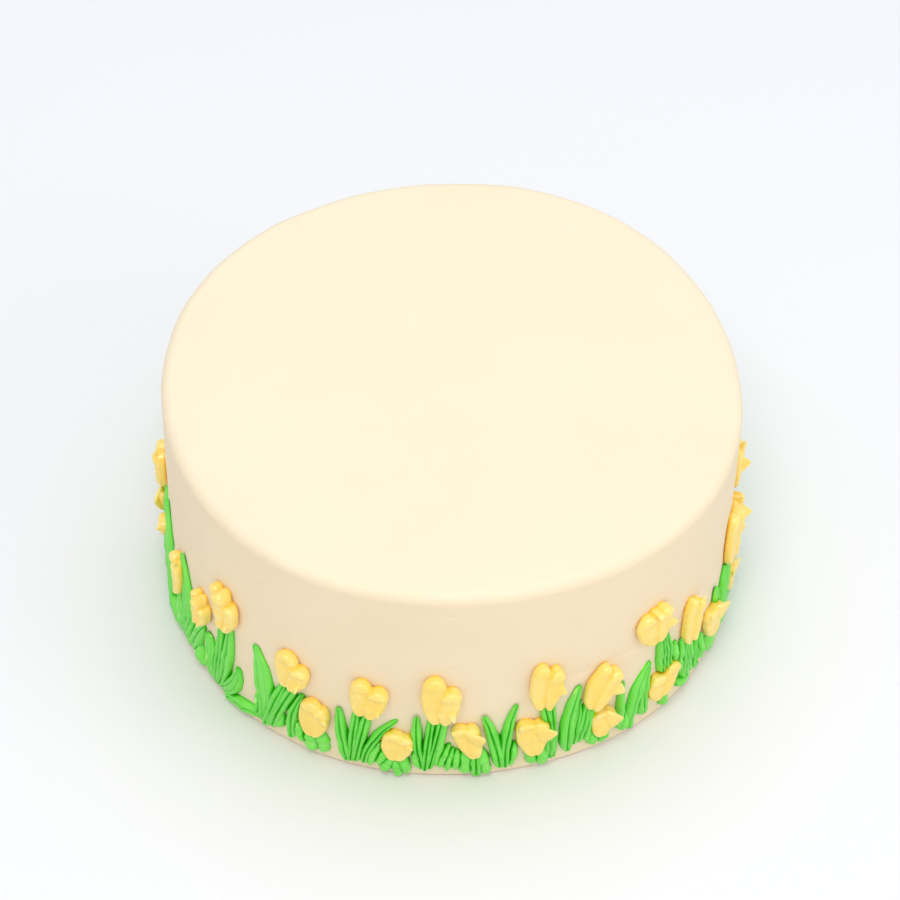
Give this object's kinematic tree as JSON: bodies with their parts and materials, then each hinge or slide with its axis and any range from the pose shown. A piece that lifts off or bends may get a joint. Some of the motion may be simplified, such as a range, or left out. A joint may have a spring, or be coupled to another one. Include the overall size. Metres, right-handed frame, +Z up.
{
  "type": "tulip cake",
  "caption": "Round iced cake, uncut, in smooth cream icing, with yellow piped tulips and green piped leaves round the foot of its wall.",
  "frame": {"origin": "middle of the cake's underside", "axes": "+Z up; the side seen in the picture faces -Y"},
  "size_m": [0.2142, 0.2121, 0.093],
  "materials": {
    "cream_icing": "smooth, soft satin",
    "yellow_icing": "smooth, soft satin",
    "green_icing": "smooth, soft satin"
  },
  "bodies": {
    "root": {"cake": "cream_icing", "tulip_1": "yellow_icing", "tulip_2": "yellow_icing", "tulip_3": "yellow_icing", "tulip_4": "yellow_icing", "tulip_5": "yellow_icing", "tulip_6": "yellow_icing", "tulip_7": "yellow_icing", "tulip_8": "yellow_icing", "tulip_9": "yellow_icing", "tulip_10": "yellow_icing", "tulip_11": "yellow_icing", "tulip_12": "yellow_icing", "tulip_13": "yellow_icing", "tulip_14": "yellow_icing", "tulip_15": "yellow_icing", "tulip_16": "yellow_icing", "tulip_17": "yellow_icing", "tulip_18": "yellow_icing", "tulip_19": "yellow_icing", "tulip_20": "yellow_icing", "tulip_21": "yellow_icing", "tulip_22": "yellow_icing", "tulip_23": "yellow_icing", "tulip_24": "yellow_icing", "tulip_25": "yellow_icing", "tulip_26": "yellow_icing", "tulip_27": "yellow_icing", "tulip_28": "yellow_icing", "tulip_29": "yellow_icing", "tulip_30": "yellow_icing", "tulip_31": "yellow_icing", "tulip_32": "yellow_icing", "tulip_33": "yellow_icing", "tulip_34": "yellow_icing", "tulip_35": "yellow_icing", "tulip_36": "yellow_icing", "tulip_37": "yellow_icing", "tulip_38": "yellow_icing", "tulip_39": "yellow_icing", "tulip_40": "yellow_icing", "tulip_41": "yellow_icing", "tulip_42": "yellow_icing", "tulip_43": "yellow_icing", "tulip_44": "yellow_icing", "leaves_1": "green_icing", "leaves_2": "green_icing", "leaves_3": "green_icing", "leaves_4": "green_icing", "leaves_5": "green_icing", "leaves_6": "green_icing", "leaves_7": "green_icing", "leaves_8": "green_icing", "leaves_9": "green_icing", "leaves_10": "green_icing", "leaves_11": "green_icing", "leaves_12": "green_icing", "leaves_13": "green_icing", "leaves_14": "green_icing", "leaves_15": "green_icing"}
  },
  "joints": []
}
